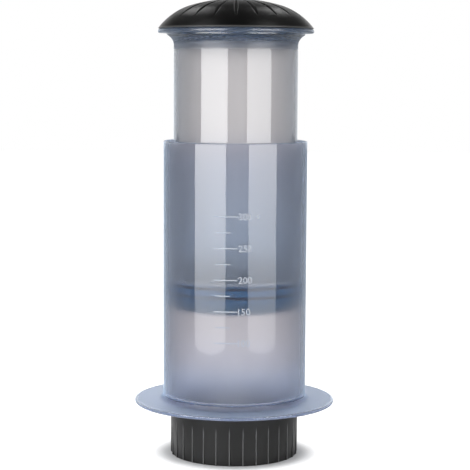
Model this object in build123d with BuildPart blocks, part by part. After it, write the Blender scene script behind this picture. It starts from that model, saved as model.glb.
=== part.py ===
from build123d import *

import os
from math import asin, atan2, cos, degrees, sin, sqrt

# A hand press for coffee, standing upright on its filter cap. Millimetres, Z up.
# The origin is the centre of the cap's foot, and the scale on the chamber faces -Y.
# Every round piece is one profile of radius and height, turned about the Z axis.

# Brewing chamber. Its bore sets the size of every round piece that goes into it or onto it
chamber_bore_radius = 32.55
chamber_wall = 2.45
chamber_height = 128.4
flange_width = 13.9
flange_thickness = 1.7
flange_fillet = 0.7
cap_relief_depth = 0.5
cap_relief_clearance = 1.0
floor_rise = 4.3
floor_fall = 2.0
foot_fillet = 2.2
rim_fillet = 0.5
neck_step = 4.45
neck_wall = 2.2

# Filter cap
thread_room = 1.2
cap_wall = 2.2
cap_draft = 0.8
cap_height = 25.0
cap_skirt_wall = 2.0
cap_foot_fillet = 0.4
flange_gap = 0.9
deck_height = 13.0
deck_thickness = 2.0

# Grip ribs round the cap: upright bars that the drafted wall sinks away from
rib_count = 30
rib_radius = 0.6
rib_setback = 0.15
rib_height = 19.0
rib_first_angle = -94.0

# Round holes through the deck, in rings about its centre
hole_radius = 1.4
hole_rings = 4
hole_ring_step = 6
hole_margin = 2.4

# What the cap clamps against the chamber's neck
screen_thickness = 0.5
paper_thickness = 0.3
neck_seal_thickness = 1.6
neck_seal_lip = 0.5
disc_clearance = 0.4

# Plunger tube, with its flared mouth and round plate
tube_gap = 2.45
tube_wall = 1.8
tube_length = 120.1
plate_overhang = 7.7
plate_thickness = 1.7
plate_fillet = 0.6
flare_width = 3.3
flare_height = 5.1
flare_step = 1.0
seal_seat_depth = 1.2
seal_seat_width = 3.2

# Piston head, which closes the tube and carries the seal
press_clearance = 0.05
plug_height = 5.0
plug_wall = 2.2
shoulder_thickness = 1.6
head_neck_step = 3.3
head_neck_height = 3.4
head_bead_lip = 1.6
head_bead_height = 5.0
head_wall = 2.4
head_floor = 2.5

# Piston seal
seal_clearance = 0.1
bore_clearance = 0.08
seal_nose = 5.7
seal_nose_taper = 3.75
seal_nose_fillet = 2.5
seal_body_gap = 0.8
seal_taper_height = 6.6
lip_height = 1.7
lip_land = 0.3
upper_lip_drop = 1.0
lip_spacing = 4.3

# Where the plunger stands at rest: the seal's lowest face over the chamber's inner floor
piston_lift = 42.1

# Lid
lid_gap = 0.3
dome_overhang = 0.1
dome_height = 14.5
crown_radius = 76.8
crown_edge_radius = 21.7
dome_wall = 3.0
dome_rim_fillet = 0.4
liner_inset = 3.9
liner_thickness = 2.0
liner_clearance = 0.1
skirt_clearance = 1.1
skirt_wall = 1.8
skirt_depth = 9.4
lid_seal_clearance = 0.3

# Grip grooves that run down the dome from near its middle
groove_count = 20
groove_depth = 1.35
groove_half_width = 0.8
groove_start_radius = 8.0
groove_rim_margin = 4.6
groove_end_lift = 0.05
groove_cut_height = 3.0

front = -90.0
quarter_turn = 90.0

# Heights and radii that follow from the sizes above
neck_radius = chamber_bore_radius - neck_step
neck_bore_radius = neck_radius - neck_wall
cap_bore_radius = neck_radius + thread_room
cap_radius = cap_bore_radius + cap_wall
cap_foot_radius = cap_radius - cap_draft
skirt_bore_radius = cap_foot_radius - cap_skirt_wall
rib_centre_radius = cap_radius - rib_setback - rib_radius
deck_top = deck_height + deck_thickness
screen_top = deck_top + screen_thickness
paper_top = screen_top + paper_thickness
neck_end = paper_top + neck_seal_thickness
disc_radius = cap_bore_radius - disc_clearance
flange_bottom = cap_height + flange_gap
flange_top = flange_bottom + flange_thickness
chamber_radius = chamber_bore_radius + chamber_wall
flange_radius = chamber_radius + flange_width
relief_radius = cap_radius + cap_relief_clearance
brew_floor = flange_bottom + floor_rise
rim = flange_bottom + chamber_height

seal_bottom = brew_floor + piston_lift
head_bottom = seal_bottom + seal_nose
bead_top = head_bottom + head_bead_height
shoulder_bottom = bead_top + head_neck_height
tube_end = shoulder_bottom + shoulder_thickness
tube_radius = chamber_bore_radius - tube_gap
tube_bore_radius = tube_radius - tube_wall
plug_radius = tube_bore_radius - press_clearance
head_neck_radius = tube_bore_radius - head_neck_step
head_bead_radius = head_neck_radius + head_bead_lip
head_cup_radius = head_neck_radius - head_wall
lip_reach = chamber_bore_radius - bore_clearance
seal_body_radius = chamber_bore_radius - seal_body_gap
seal_nose_radius = seal_body_radius - seal_nose_taper

plate_top = tube_end + tube_length
plate_bottom = plate_top - plate_thickness
plate_radius = tube_radius + plate_overhang
flare_radius = tube_radius + flare_width
flare_top = plate_bottom - flare_step
flare_bottom = flare_top - flare_height
seal_seat = plate_top - seal_seat_depth
seal_seat_radius = tube_bore_radius + seal_seat_width

liner_bottom = plate_top + lid_gap
liner_top = liner_bottom + liner_thickness
skirt_radius = tube_bore_radius - skirt_clearance
dome_rim_radius = plate_radius + dome_overhang
liner_radius = dome_rim_radius - liner_inset
recess_radius = liner_radius + liner_clearance

# The dome's outline is a flat crown arc and a rounder shoulder arc, tangent where they meet
crown_angle = asin(crown_edge_radius / crown_radius)
crown_centre = liner_bottom + dome_height - crown_radius
crown_normal = Vector(sin(crown_angle), cos(crown_angle))
crown_edge = Vector(0, crown_centre) + crown_normal * crown_radius
rim_chord = Vector(dome_rim_radius, liner_bottom) - crown_edge
shoulder_radius = -rim_chord.dot(rim_chord) / (2 * rim_chord.dot(crown_normal))
shoulder_centre = crown_edge - crown_normal * shoulder_radius

os.makedirs("parts", exist_ok=True)


def corner(sketch, radius, height):
    """The corner of a profile nearest to a radius and a height."""
    return sketch.vertices().sort_by_distance(Vector(radius, height, 0))[0]


def dome_surface(radius):
    """Height of the dome's outside at a radius from the axis."""
    if radius < crown_edge_radius:
        return crown_centre + sqrt(crown_radius**2 - radius**2)
    return shoulder_centre.Y + sqrt(shoulder_radius**2 - (radius - shoulder_centre.X) ** 2)


def shoulder_reach(wall, height):
    """Radius of the shoulder arc, moved in by a wall, at a height."""
    return shoulder_centre.X + sqrt((shoulder_radius - wall) ** 2 - (height - shoulder_centre.Y) ** 2)


def dome_arcs(wall, height):
    """The crown and shoulder arcs, moved in by a wall, from the axis out to a height."""
    reach = shoulder_reach(wall, height)
    start = degrees(atan2(height - shoulder_centre.Y, reach - shoulder_centre.X))
    joint = quarter_turn - degrees(crown_angle)
    shoulder = CenterArc(shoulder_centre, shoulder_radius - wall, start, joint - start)
    crown = CenterArc((0, crown_centre), crown_radius - wall, joint, quarter_turn - joint)
    return shoulder, crown


# Filter cap: a drafted skirt round a perforated deck, open below and above
with BuildPart() as filter_cap:
    with BuildSketch(Plane.XZ) as cap_profile:
        with BuildLine():
            Polyline(
                (0, deck_height),
                (skirt_bore_radius, deck_height),
                (skirt_bore_radius, 0),
                (cap_foot_radius, 0),
                (cap_radius, cap_height),
                (cap_bore_radius, cap_height),
                (cap_bore_radius, deck_top),
                (0, deck_top),
                close=True,
            )
        make_face()
        fillet(corner(cap_profile, cap_foot_radius, 0), cap_foot_fillet)
        fillet(corner(cap_profile, cap_radius, cap_height), cap_foot_fillet)
    revolve(axis=Axis.Z)
    with BuildSketch(Plane.XY.offset(cap_foot_fillet)) as rib_section:
        with PolarLocations(rib_centre_radius, rib_count, start_angle=rib_first_angle):
            Circle(rib_radius)
    extrude(amount=rib_height)
    with BuildSketch(Plane.XY.offset(deck_height)) as deck_holes:
        hole_pitch = (neck_bore_radius - hole_margin) / hole_rings
        Circle(hole_radius)
        for ring in range(1, hole_rings + 1):
            with PolarLocations(ring * hole_pitch, ring * hole_ring_step, start_angle=front):
                Circle(hole_radius)
    extrude(amount=deck_thickness, mode=Mode.SUBTRACT)

# Filter screen: the thin steel disc that lies on the deck
with BuildPart() as filter_screen:
    with BuildSketch(Plane.XY.offset(deck_top)):
        Circle(disc_radius)
    extrude(amount=screen_thickness)

# Paper filter: a round sheet that lies on the screen
with BuildPart() as paper_filter:
    with BuildSketch(Plane.XY.offset(screen_top)):
        Circle(disc_radius)
    extrude(amount=paper_thickness)

# Neck seal: a flat silicone ring between the paper and the end of the neck
with BuildPart() as neck_seal:
    with BuildSketch(Plane.XY.offset(paper_top)):
        Circle(neck_radius + neck_seal_lip)
        Circle(neck_bore_radius, mode=Mode.SUBTRACT)
    extrude(amount=neck_seal_thickness)

# Chamber: neck, round flange relieved over the cap, sloping inner floor and straight graduated barrel
with BuildPart() as chamber:
    with BuildSketch(Plane.XZ) as chamber_profile:
        with BuildLine():
            Polyline(
                (neck_bore_radius, neck_end),
                (neck_radius, neck_end),
                (neck_radius, flange_bottom + cap_relief_depth),
                (relief_radius, flange_bottom + cap_relief_depth),
                (relief_radius, flange_bottom),
                (flange_radius, flange_bottom),
                (flange_radius, flange_top),
                (chamber_radius, flange_top),
                (chamber_radius, rim),
                (chamber_bore_radius, rim),
                (chamber_bore_radius, brew_floor),
                (neck_bore_radius, brew_floor - floor_fall),
                close=True,
            )
        make_face()
        fillet(corner(chamber_profile, chamber_radius, flange_top), foot_fillet)
        fillet(corner(chamber_profile, flange_radius, flange_bottom), flange_fillet)
        fillet(corner(chamber_profile, flange_radius, flange_top), flange_fillet)
        fillet(corner(chamber_profile, chamber_radius, rim), rim_fillet)
        fillet(corner(chamber_profile, chamber_bore_radius, rim), rim_fillet)
        fillet(corner(chamber_profile, chamber_bore_radius, brew_floor), rim_fillet)
    revolve(axis=Axis.Z)

# Plunger tube: a plain bore from end to end, and a concave flare under the top plate
with BuildPart() as plunger_tube:
    with BuildSketch(Plane.XZ) as tube_profile:
        with BuildLine():
            Polyline(
                (flare_radius, flare_top),
                (flare_radius, plate_bottom),
                (plate_radius, plate_bottom),
                (plate_radius, plate_top),
                (seal_seat_radius, plate_top),
                (seal_seat_radius, seal_seat),
                (tube_bore_radius, seal_seat),
                (tube_bore_radius, tube_end),
                (tube_radius, tube_end),
                (tube_radius, flare_bottom),
            )
            TangentArc((tube_radius, flare_bottom), (flare_radius, flare_top), tangent=(0, 1))
        make_face()
        fillet(corner(tube_profile, plate_radius, plate_bottom), plate_fillet)
        fillet(corner(tube_profile, plate_radius, plate_top), plate_fillet)
    revolve(axis=Axis.Z)

# Piston head: a cup pressed into the tube, with a shoulder, a neck and a bead for the seal
with BuildPart() as piston_head:
    with BuildSketch(Plane.XZ):
        with BuildLine():
            Polyline(
                (0, head_bottom),
                (head_bead_radius, head_bottom),
                (head_bead_radius, bead_top),
                (head_neck_radius, bead_top),
                (head_neck_radius, shoulder_bottom),
                (tube_radius, shoulder_bottom),
                (tube_radius, tube_end),
                (plug_radius, tube_end),
                (plug_radius, tube_end + plug_height),
                (plug_radius - plug_wall, tube_end + plug_height),
                (plug_radius - plug_wall, tube_end),
                (head_cup_radius, tube_end),
                (head_cup_radius, head_bottom + head_floor),
                (0, head_bottom + head_floor),
                close=True,
            )
        make_face()
    revolve(axis=Axis.Z)

# Piston seal: a soft cup stretched over the head, with a tapered nose and two lips
upper_lip = shoulder_bottom - upper_lip_drop
lower_lip = upper_lip - lip_spacing
with BuildPart() as piston_seal:
    with BuildSketch(Plane.XZ) as seal_profile:
        with BuildLine():
            Polyline(
                (0, seal_bottom),
                (seal_nose_radius, seal_bottom),
                (seal_body_radius, seal_bottom + seal_taper_height),
                (seal_body_radius, shoulder_bottom),
                (head_neck_radius + seal_clearance, shoulder_bottom),
                (head_neck_radius + seal_clearance, bead_top + seal_clearance),
                (head_bead_radius + seal_clearance, bead_top + seal_clearance),
                (head_bead_radius + seal_clearance, head_bottom),
                (0, head_bottom),
                close=True,
            )
        make_face()
        for lip in (upper_lip, lower_lip):
            with BuildLine():
                Polyline(
                    (seal_body_radius, lip - lip_height / 2),
                    (lip_reach, lip - lip_land / 2),
                    (lip_reach, lip + lip_land / 2),
                    (seal_body_radius, lip + lip_height / 2),
                    close=True,
                )
            make_face()
        fillet(corner(seal_profile, seal_nose_radius, seal_bottom), seal_nose_fillet)
    revolve(axis=Axis.Z)

# Lid seal: a flat silicone ring in the seat round the tube's mouth
with BuildPart() as lid_seal:
    with BuildSketch(Plane.XY.offset(seal_seat)):
        Circle(seal_seat_radius - lid_seal_clearance)
        Circle(tube_bore_radius + lid_seal_clearance, mode=Mode.SUBTRACT)
    extrude(amount=liner_bottom - seal_seat)

# Lid liner: the plate that closes the dome from below, with a skirt that enters the tube
with BuildPart() as lid_liner:
    with BuildSketch(Plane.XZ):
        with BuildLine():
            Polyline(
                (0, liner_bottom),
                (skirt_radius - skirt_wall, liner_bottom),
                (skirt_radius - skirt_wall, liner_bottom - skirt_depth),
                (skirt_radius, liner_bottom - skirt_depth),
                (skirt_radius, liner_bottom),
                (liner_radius, liner_bottom),
                (liner_radius, liner_top),
                (0, liner_top),
                close=True,
            )
        make_face()
    revolve(axis=Axis.Z)

# Groove cutter: a V that dips into the dome along an arc and leaves it at both ends
groove_end_radius = dome_rim_radius - groove_rim_margin
groove_middle_radius = (groove_start_radius + groove_end_radius) / 2
with BuildPart() as groove_cutter:
    with BuildLine(Plane.XZ) as groove_path:
        ThreePointArc(
            (groove_start_radius, dome_surface(groove_start_radius) + groove_end_lift),
            (groove_middle_radius, dome_surface(groove_middle_radius) - groove_depth),
            (groove_end_radius, dome_surface(groove_end_radius) + groove_end_lift),
        )
    start_plane = Plane(
        origin=groove_path.line @ 0,
        x_dir=(0, 1, 0),
        z_dir=groove_path.line % 0,
    )
    with BuildSketch(start_plane):
        with BuildLine():
            groove_slope = groove_half_width / groove_depth
            Polyline(
                (0, 0),
                (groove_cut_height * groove_slope, groove_cut_height),
                (-groove_cut_height * groove_slope, groove_cut_height),
                close=True,
            )
        make_face()
    sweep(path=groove_path.line)

# Dome lid: a shell with a recess for the liner, and grooves for the grip
with BuildPart() as dome_lid:
    with BuildSketch(Plane.XZ) as dome_profile:
        with BuildLine():
            outer_shoulder, outer_crown = dome_arcs(0, liner_bottom)
            inner_shoulder, inner_crown = dome_arcs(dome_wall, liner_top)
            Polyline(
                inner_shoulder @ 0,
                (recess_radius, liner_top),
                (recess_radius, liner_bottom),
                outer_shoulder @ 0,
            )
            Line(outer_crown @ 1, inner_crown @ 1)
        make_face()
        fillet(corner(dome_profile, dome_rim_radius, liner_bottom), dome_rim_fillet)
    revolve(axis=Axis.Z)
    with PolarLocations(0, groove_count, start_angle=front):
        add(groove_cutter.part, mode=Mode.SUBTRACT)

pieces = {
    "filter_cap": filter_cap,
    "filter_screen": filter_screen,
    "paper_filter": paper_filter,
    "neck_seal": neck_seal,
    "chamber": chamber,
    "plunger_tube": plunger_tube,
    "piston_head": piston_head,
    "piston_seal": piston_seal,
    "lid_seal": lid_seal,
    "lid_liner": lid_liner,
    "dome_lid": dome_lid,
}
for name, piece in pieces.items():
    piece.part.label = name
    export_step(piece.part, f"parts/{name}.step")
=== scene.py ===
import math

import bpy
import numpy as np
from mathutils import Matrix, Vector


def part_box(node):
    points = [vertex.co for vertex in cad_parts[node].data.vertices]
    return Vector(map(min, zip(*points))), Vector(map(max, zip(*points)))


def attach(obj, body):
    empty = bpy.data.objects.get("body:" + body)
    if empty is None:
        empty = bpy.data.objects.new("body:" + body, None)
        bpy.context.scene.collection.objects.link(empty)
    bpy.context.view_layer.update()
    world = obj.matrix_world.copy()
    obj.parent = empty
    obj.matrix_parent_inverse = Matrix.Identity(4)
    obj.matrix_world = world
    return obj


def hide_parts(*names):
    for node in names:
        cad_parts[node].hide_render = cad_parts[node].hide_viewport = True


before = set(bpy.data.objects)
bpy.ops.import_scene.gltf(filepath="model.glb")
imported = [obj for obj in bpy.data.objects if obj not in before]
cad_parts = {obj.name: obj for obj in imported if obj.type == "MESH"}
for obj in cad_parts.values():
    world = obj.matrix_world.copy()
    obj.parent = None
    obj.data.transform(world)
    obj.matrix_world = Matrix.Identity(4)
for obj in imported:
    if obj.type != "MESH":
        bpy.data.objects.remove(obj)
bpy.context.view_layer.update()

# %% [markdown]
# A hand press for coffee. It stands on a ribbed filter cap. A smoke blue chamber with a volume scale screws
# into the cap, a clear smoky plunger slides in the chamber, and a black domed lid screws into the plunger.
#
# Nearly every piece was moulded or turned round one axis. So nearly every piece here is one profile of
# radius and height, carried round the Z axis. That could be done by hand with the Screw modifier, but a
# profile that is worked out with numpy keeps its roundings exact, and its surface can swell into ribs and
# threads.

mm = 0.001
full_turn = 2 * math.pi

# %% [markdown]
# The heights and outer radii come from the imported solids, so each piece here sits where its solid does.
# Only wall thicknesses and other sizes that a box can't tell are written as values.


# %% Sizes read from the frame
def reach(node):
    """Outer radius, lowest height and highest height of a round solid."""
    low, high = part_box(node)
    return high.x, low.z, high.z


cap_radius, cap_foot, cap_top = reach("filter_cap")
disc_radius, screen_bottom, screen_top = reach("filter_screen")
_, paper_bottom, paper_top = reach("paper_filter")
gasket_radius, _, neck_end = reach("neck_seal")
flange_radius, _, rim = reach("chamber")
plate_radius, tube_end, plate_top = reach("plunger_tube")
tube_radius, head_bottom, plug_top = reach("piston_head")
lip_radius, seal_bottom, shoulder_bottom = reach("piston_seal")
lid_ring_radius, seal_seat, liner_bottom = reach("lid_seal")
liner_radius, skirt_end, liner_top = reach("lid_liner")
_, dome_foot, dome_top = reach("dome_lid")
print("rim", round(rim, 4), "plate", round(plate_top, 4), "dome", round(dome_top, 4))

# %% [markdown]
# Real moulded corners are never sharp, and a small rounding is what catches the light along an edge. A
# Bevel modifier could round every edge alike, but here each edge has a rounding of its own. So a profile is
# a list of corners, each written as its radius from the axis, its height and its rounding. Just outside
# each rounding lies one more point, which keeps the long wall beside it flat when the faces are shaded
# smooth.


# %% Rounded profiles
def rounded(corners, steps=5):
    """Corners, each a radius, a height and a rounding, made an outline of arcs.

    An arc of radius r at a corner, whose two sides are 2h apart in angle, starts r / tan(h) from the corner.
    Its centre lies r / sin(h) from the corner, midway between the sides, and its points turn evenly about it.
    """
    corners = np.array(corners, float)
    corner = corners[:, :2]
    radius = corners[:, 2:]
    before = np.roll(corner, 1, axis=0) - corner
    after = np.roll(corner, -1, axis=0) - corner
    before /= np.linalg.norm(before, axis=1)[:, None]
    after /= np.linalg.norm(after, axis=1)[:, None]
    half = np.arccos(np.clip((before * after).sum(axis=1), -1, 1))[:, None] / 2
    reach_along = radius / np.tan(half)
    middle = before + after
    length = np.linalg.norm(middle, axis=1)[:, None]
    middle = middle / np.where(length > 0, length, 1)
    centre = corner + middle * radius / np.sin(half)
    spoke_in = corner + before * reach_along - centre
    spoke_out = corner + after * reach_along - centre
    sweep = np.maximum(math.pi - 2 * half, 1e-6)[:, :, None]
    share = np.linspace(0, 1, steps + 1)[None, :, None]
    arc = spoke_in[:, None] * np.sin((1 - share) * sweep) + spoke_out[:, None] * np.sin(share * sweep)
    arc = centre[:, None] + arc / np.sin(sweep)
    guard = 0.35 * radius
    first = corner + before * (reach_along + guard)
    last = corner + after * (reach_along + guard)
    path = np.concatenate([first[:, None], arc, last[:, None]], axis=1)
    keep = np.broadcast_to(radius > 0, path.shape[:2]).copy()
    path[radius[:, 0] == 0, 0] = corner[radius[:, 0] == 0]
    keep[:, 0] = True
    return path[keep]


def run(start, end, count):
    """Evenly spaced points on a straight stretch of a profile, both ends included."""
    share = np.linspace(0, 1, count)[:, None]
    return np.array(start, float) * (1 - share) + np.array(end, float) * share


sample = rounded([(0, 0, 0.1), (1, 0, 0.1), (1, 1, 0.1), (0, 1, 0.1)])
print("a square with four roundings has", len(sample), "points")

# %% [markdown]
# A piece is a mesh with one finish, and it rides on one of the moving bodies. Its faces could be drawn by
# hand in Edit Mode, but points that are worked out can be made again from other sizes. Faces that meet at
# more than the crease angle keep a sharp edge between them, and all others are shaded smooth.


# %% Pieces
def add_piece(name, mesh, finish):
    """Puts a mesh into the scene as a piece with one finish."""
    mesh.name = name
    mesh.materials.clear()
    mesh.materials.append(finish)
    piece = bpy.data.objects.new(name, mesh)
    bpy.context.scene.collection.objects.link(piece)
    return piece


def new_piece(name, points, faces, finish, crease=40):
    """A piece from points and faces, shaded smooth up to a crease angle in degrees."""
    mesh = bpy.data.meshes.new(name)
    mesh.from_pydata(points, [], faces)
    mesh.update()
    mesh.shade_smooth()
    mesh.set_sharp_from_angle(angle=math.radians(crease))
    print(name, "points", len(points), "faces", len(faces))
    return add_piece(name, mesh, finish)


def settle(piece, body, slot, *nodes):
    """Fastens a piece to a moving body and hides the imported solids that it stands for. slot is not used."""
    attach(piece, body)
    if nodes:
        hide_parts(*nodes)


# %% [markdown]
# Turning a profile gives a grid: one row for each angle, and one column for each point of the profile.
# Where the profile meets the axis, all the rows share one point, and a fan of triangles closes the pole. A
# profile that runs round its section with the solid on its left gives faces that point outwards.


# %% Surfaces of revolution
def turned(name, outline, finish, angles=240, relief=None, crease=40):
    """A profile carried round Z: (r, z) at angle a goes to (r cos a, r sin a, z).

    angles is a count of even steps, or an array. relief(angle, radius, height) gives what is added to the
    radius and to the height, which is how ribs, threads and grooves are raised or sunk.
    """
    outline = np.array(outline, float)
    if np.isscalar(angles):
        angles = np.arange(angles) * full_turn / angles
    on_axis = outline[:, 0] < 1e-9
    poles = outline[on_axis]
    body = outline[~on_axis]
    open_ended = len(poles) > 0
    a, r = np.meshgrid(angles, body[:, 0], indexing="ij")
    z = np.broadcast_to(body[:, 1], r.shape)
    if relief is not None:
        out, up = relief(a, r, z)
        r, z = r + out, z + up
    points = np.stack([r * np.cos(a), r * np.sin(a), z], axis=-1).reshape(-1, 3)
    rows, columns = len(angles), len(body)
    i = np.arange(rows)[:, None]
    j = np.arange(columns - 1 if open_ended else columns)[None, :]
    k = (i + 1) % rows
    n = (j + 1) % columns
    quads = np.stack([i * columns + j, k * columns + j, k * columns + n, i * columns + n], axis=-1)
    faces = quads.reshape(-1, 4).tolist()
    if open_ended:
        points = np.vstack([points, [[0, 0, poles[0, 1]], [0, 0, poles[-1, 1]]]])
        foot, top = rows * columns, rows * columns + 1
        i, k = i[:, 0], k[:, 0]
        faces += np.stack([np.full(rows, foot), k * columns, i * columns], axis=-1).tolist()
        last = columns - 1
        faces += np.stack([np.full(rows, top), i * columns + last, k * columns + last], axis=-1).tolist()
    return new_piece(name, points, faces, finish, crease)


# %% [markdown]
# Both screw joints have the same thread: four ridges that start a quarter turn apart and climb 12 mm in a
# turn, so a short twist is enough to open or close them. A thread could be a separate coil, but on the real
# pieces it is one with the wall, so the wall itself is raised. The ridge is a flat crest with sloping
# flanks.

# %% The quick thread
thread_lead = 12.0 * mm
thread_starts = 4
thread_pitch = thread_lead / thread_starts
thread_height = 0.85 * mm
thread_foot = 0.68 * mm
thread_flank = 0.4 * mm
thread_fade = 1.0 * mm


def smooth_step(x):
    """Goes from 0 to 1 with level ends, as 3x^2 - 2x^3."""
    x = np.clip(x, 0, 1)
    return x * x * (3 - 2 * x)


def thread(angle, height, low, high, offset):
    """Height of the ridge over its wall, from 0 to the thread's height.

    A ridge's middle is where height minus lead times turns is a whole number of pitches, give or take the
    offset. The ridge fades in and out at the two ends of the wall.
    """
    turns = angle / full_turn
    place = (height - thread_lead * turns) / thread_pitch - offset
    distance = np.abs(place - np.round(place)) * thread_pitch
    ridge = np.clip((thread_foot - distance) / thread_flank, 0, 1)
    ends = smooth_step((height - low) / thread_fade) * smooth_step((high - height) / thread_fade)
    return thread_height * ridge * ends


print("thread pitch", round(thread_pitch, 4), "ridge height", thread_height)

# %% A thread on a wall
wall_tolerance = 0.05 * mm


def thread_relief(radius, low, high, outward, offset):
    """A relief that raises the thread on the wall at one radius, between two heights.

    outward is 1 on the outside of a wall, and -1 in a bore, where the ridge stands towards the axis.
    """
    def relief(a, r, z):
        on_wall = (np.abs(r - radius) < wall_tolerance) & (z > low) & (z < high)
        return np.where(on_wall, outward * thread(a, z, low, high, offset), 0), np.zeros_like(z)
    return relief


# %% [markdown]
# Finishes. Moulded plastic has a very fine grain from its tool, and a few soft marks from being handled.
# Several finishes share both effects. Their nodes could be copied into each, but then every change is made
# many times. So each effect is a node group that is built once. A group puts out plain values, and each
# finish adds them to its own roughness, colour and bump.


# %% Shared surface effects
def node_group(name, inputs, outputs):
    """An empty shader node group with number inputs and outputs, and its two end nodes."""
    group = bpy.data.node_groups.new(name, "ShaderNodeTree")
    for socket, value in inputs.items():
        entry = group.interface.new_socket(name=socket, in_out="INPUT", socket_type="NodeSocketFloat")
        entry.default_value = value
    for socket in outputs:
        group.interface.new_socket(name=socket, in_out="OUTPUT", socket_type="NodeSocketFloat")
    return group, group.nodes.new("NodeGroupInput"), group.nodes.new("NodeGroupOutput")


def noise(tree, scale, detail, place):
    """A noise texture in a tree, read at a place. The scale is a number or a socket."""
    node = tree.nodes.new("ShaderNodeTexNoise")
    node.inputs["Detail"].default_value = detail
    node.inputs["Roughness"].default_value = 0.55
    tree.links.new(place, node.inputs["Vector"])
    if isinstance(scale, (int, float)):
        node.inputs["Scale"].default_value = scale
    else:
        tree.links.new(scale, node.inputs["Scale"])
    return node.outputs["Fac"]


def calculate(tree, kind, first, second):
    """A math node. Each of the two values is a number or a socket."""
    node = tree.nodes.new("ShaderNodeMath")
    node.operation = kind
    for slot_number, value in enumerate((first, second)):
        if isinstance(value, (int, float)):
            node.inputs[slot_number].default_value = value
        else:
            tree.links.new(value, node.inputs[slot_number])
    return node.outputs[0]


# %% Grain and handling marks
shade_scale = 90.0
smear_scale = 45.0
grain, grain_in, grain_out = node_group("tool_grain", {"Scale": 2500.0, "Depth": 1.0}, ["Height", "Shade"])
grain_place = grain.nodes.new("ShaderNodeTexCoord").outputs["Object"]
fine = noise(grain, grain_in.outputs["Scale"], 2.0, grain_place)
broad = noise(grain, shade_scale, 3.0, grain_place)
grain.links.new(calculate(grain, "MULTIPLY", fine, grain_in.outputs["Depth"]), grain_out.inputs["Height"])
grain.links.new(calculate(grain, "MULTIPLY_ADD", broad, 0.5), grain_out.inputs["Shade"])

marks, marks_in, marks_out = node_group("handling_marks", {"Base": 0.3, "Spread": 0.05}, ["Roughness"])
marks_place = marks.nodes.new("ShaderNodeTexCoord").outputs["Object"]
smear = calculate(marks, "SUBTRACT", noise(marks, smear_scale, 4.0, marks_place), 0.5)
smear = calculate(marks, "MULTIPLY", smear, marks_in.outputs["Spread"])
marks.links.new(calculate(marks, "ADD", smear, marks_in.outputs["Base"]), marks_out.inputs["Roughness"])
print("node groups", [g.name for g in bpy.data.node_groups])

# %% [markdown]
# A finish starts from one Principled shader. A number that is the same all over the surface is set on the
# shader's own socket, and whatever changes over the surface comes from a texture or a shared effect. The
# nodes could be placed by hand, but these helpers keep each finish to a few lines that can be read.


# %% Starting a finish
def finish_start(name, colour, **settings):
    """A material with one Principled shader, its settings made on the shader's own sockets."""
    material = bpy.data.materials.new(name)
    material.use_nodes = True
    shader = material.node_tree.nodes["Principled BSDF"]
    shader.inputs["Base Color"].default_value = (*colour, 1)
    for socket, value in settings.items():
        shader.inputs[socket.replace("_", " ")].default_value = value
    print("finish", name)
    return material, material.node_tree, shader


def place_group(tree, group, **values):
    """A shared effect placed in a material with its own values."""
    node = tree.nodes.new("ShaderNodeGroup")
    node.node_tree = group
    for socket, value in values.items():
        node.inputs[socket].default_value = value
    return node


def blend_colours(tree, share, low, high):
    """A colour between two, by a share that changes over the surface."""
    node = tree.nodes.new("ShaderNodeMix")
    node.data_type = "RGBA"
    tree.links.new(share, node.inputs["Factor"])
    node.inputs["A"].default_value = (*low, 1)
    node.inputs["B"].default_value = (*high, 1)
    return node.outputs["Result"]


def add_bump(tree, shader, height, distance):
    """Fine relief for the light, from a height that changes over the surface."""
    bump = tree.nodes.new("ShaderNodeBump")
    bump.inputs["Distance"].default_value = distance
    tree.links.new(height, bump.inputs["Height"])
    tree.links.new(bump.outputs["Normal"], shader.inputs["Normal"])


# %% [markdown]
# The lid and the cap are black plastic out of a finely grained tool: the lid deeper black and a little
# smoother, the cap greyer. One flat black would swallow the form, so each has a slight change of shade over
# centimetres, and the grain breaks up its highlight. The liner under the dome is the same plastic in slate.


# %% Black plastics
def grained_plastic(name, low, high, roughness, grain_depth, gloss):
    """A satin plastic with tool grain and handling marks, whose shade drifts between two colours."""
    material, tree, shader = finish_start(name, low, IOR=1.5, Specular_IOR_Level=gloss)
    texture = place_group(tree, grain, Scale=2400.0, Depth=1.0)
    tree.links.new(blend_colours(tree, texture.outputs["Shade"], low, high), shader.inputs["Base Color"])
    handled = place_group(tree, marks, Base=roughness, Spread=0.14)
    tree.links.new(handled.outputs["Roughness"], shader.inputs["Roughness"])
    add_bump(tree, shader, texture.outputs["Height"], grain_depth)
    return material


lid_black = grained_plastic(
    "satin_lid_black", low=(0.002, 0.002, 0.002), high=(0.005, 0.005, 0.005),
    roughness=0.30, grain_depth=0.05 * mm, gloss=0.22)
cap_black = grained_plastic(
    "grained_cap_black", low=(0.012, 0.012, 0.012), high=(0.019, 0.019, 0.019),
    roughness=0.42, grain_depth=0.06 * mm, gloss=0.28)
liner_slate = grained_plastic(
    "dark_liner_grey", low=(0.11, 0.16, 0.25), high=(0.125, 0.175, 0.27),
    roughness=0.40, grain_depth=0.05 * mm, gloss=0.5)

# %% [markdown]
# Some finishes change with the place on the piece: a tint drifts with the height, and an edge is more
# polished than the face beside it. Image maps could hold that, but nearly every piece here is round, so two
# measures are enough: the distance from the axis and the height. Both come from the object's own
# coordinates.


# %% Measures over the surface
def from_axis(tree):
    """Distance from the Z axis, sqrt(x^2 + y^2), and the height, as sockets."""
    place = tree.nodes.new("ShaderNodeSeparateXYZ")
    tree.links.new(tree.nodes.new("ShaderNodeTexCoord").outputs["Object"], place.inputs[0])
    across = calculate(tree, "MULTIPLY", place.outputs["X"], place.outputs["X"])
    along = calculate(tree, "MULTIPLY", place.outputs["Y"], place.outputs["Y"])
    return calculate(tree, "SQRT", calculate(tree, "ADD", across, along), 0), place.outputs["Z"]


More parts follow.
